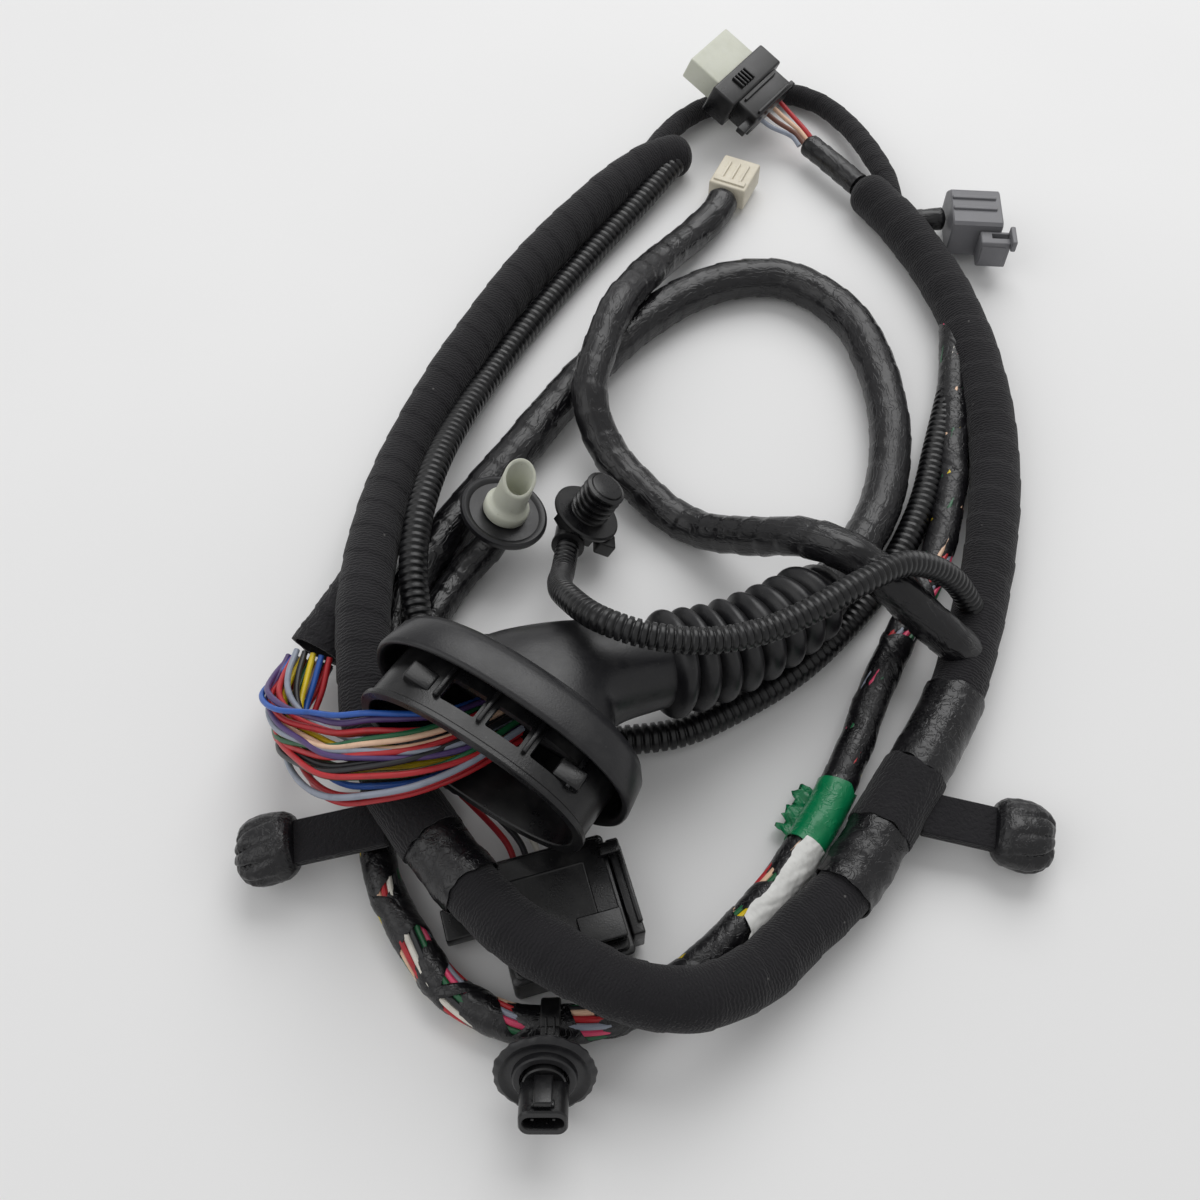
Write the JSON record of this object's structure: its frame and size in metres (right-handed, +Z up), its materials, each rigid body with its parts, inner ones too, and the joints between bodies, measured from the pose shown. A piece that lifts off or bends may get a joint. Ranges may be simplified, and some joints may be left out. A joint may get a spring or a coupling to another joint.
{
  "type": "wiring harness",
  "caption": "Vehicle wiring harness laid in a loop: taped trunks, ribbed conduits, an oval rubber grommet with a folded boot, loose coloured wires, connectors and bracket arms.",
  "frame": {"origin": "on the floor under the middle of the harness's outline as it lies", "axes": "+Z up from the floor; +Y from the disc connector end towards the upper connector end; +X towards the grey connector"},
  "size_m": [0.2214, 0.363, 0.0559],
  "materials": {
    "cloth_tape": "black woven tape, dull",
    "black_tape": "black vinyl tape, creased, half gloss",
    "conduit": "black ribbed conduit, satin",
    "rubber": "black rubber, dull and dusty",
    "black_plastic": "black moulded plastic, satin",
    "pale_plastic": "off-white moulded plastic, satin",
    "cream_plastic": "cream moulded plastic, satin",
    "grey_plastic": "mid grey moulded plastic, satin",
    "green_tape": "green vinyl tape with a torn end",
    "white_label": "blank white label, scuffed",
    "red_wire": "red wire insulation",
    "violet_wire": "violet wire insulation",
    "cream_wire": "cream wire insulation",
    "black_wire": "black wire insulation",
    "green_wire": "green wire insulation",
    "grey_wire": "grey wire insulation",
    "yellow_wire": "yellow wire insulation",
    "blue_wire": "blue wire insulation",
    "white_wire": "white wire insulation",
    "brown_wire": "brown wire insulation"
  },
  "bodies": {
    "root": {"main_trunk": "cloth_tape", "breakout": "cloth_tape", "arch_branch": "cloth_tape", "inner_trunk": "black_tape", "open_branch": "black_tape", "cross_branch": "black_tape", "bulb_branch": "black_tape", "module_branch": "black_tape", "grey_branch": "black_tape", "upper_branch": "black_tape", "left_bracket_wrap": "black_tape", "right_bracket_wrap": "black_tape", "left_bracket_tape": "black_tape", "right_bracket_tape": "black_tape", "long_conduit": "conduit", "plug_conduit": "conduit", "grommet_boot": "rubber", "disc_seal": "rubber", "bulb_seal": "rubber", "grommet_frame": "black_plastic", "left_bracket": "black_plastic", "right_bracket": "black_plastic", "disc_socket": "black_plastic", "disc_clip": "black_plastic", "plug_body": "black_plastic", "plug_base": "black_plastic", "module_housing": "black_plastic", "module_latch": "black_plastic", "module_lock": "black_plastic", "upper_housing": "black_plastic", "upper_insert": "pale_plastic", "bulb_holder": "pale_plastic", "cream_connector": "cream_plastic", "grey_housing": "grey_plastic", "grey_latch": "grey_plastic", "green_tape": "green_tape", "white_label": "white_label", "wire_01": "violet_wire", "wire_02": "red_wire", "wire_03": "cream_wire", "wire_04": "black_wire", "wire_05": "green_wire", "wire_06": "grey_wire", "wire_07": "red_wire", "wire_08": "yellow_wire", "wire_09": "green_wire", "wire_10": "cream_wire", "wire_11": "red_wire", "wire_12": "grey_wire", "wire_13": "black_wire", "wire_14": "yellow_wire", "wire_15": "blue_wire", "wire_16": "red_wire", "module_wire_1": "red_wire", "module_wire_2": "black_wire", "module_wire_3": "white_wire", "upper_wire_1": "red_wire", "upper_wire_2": "cream_wire", "upper_wire_3": "brown_wire", "upper_wire_4": "grey_wire"}
  },
  "joints": []
}
